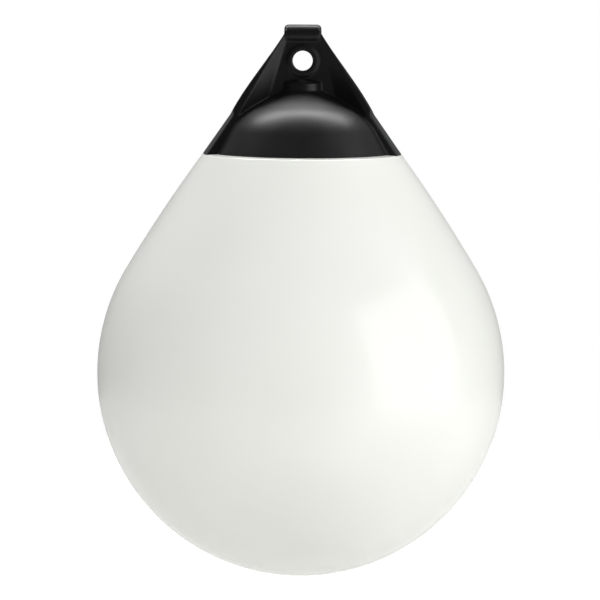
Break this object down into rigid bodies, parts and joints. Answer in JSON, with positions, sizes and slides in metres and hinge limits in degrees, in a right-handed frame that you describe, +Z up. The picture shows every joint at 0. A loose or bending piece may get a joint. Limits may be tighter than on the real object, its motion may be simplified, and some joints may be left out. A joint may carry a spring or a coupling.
{
  "type": "ball fender",
  "caption": "Teardrop-shaped inflatable ball fender with a moulded rope hold over its neck, a rimmed rope eye in a recessed web and a slotted screw valve.",
  "frame": {"origin": "centre of the rope eye, midway through the web", "axes": "+Z up from the ball to the rope eye as the fender hangs, +Y along the eye's hole, +X across the fin"},
  "size_m": [0.4316, 0.4316, 0.5837],
  "materials": {
    "white_vinyl": "glossy white moulded vinyl",
    "black_vinyl": "semi-gloss black moulded vinyl",
    "valve_plastic": "satin black moulded plastic",
    "screw_plastic": "satin dark moulded plastic",
    "seal_rubber": "matt black rubber"
  },
  "bodies": {
    "root": {"float_body": "white_vinyl", "rope_hold": "black_vinyl", "valve_insert": "valve_plastic", "valve_screw": "screw_plastic", "valve_seal": "seal_rubber"}
  },
  "joints": []
}
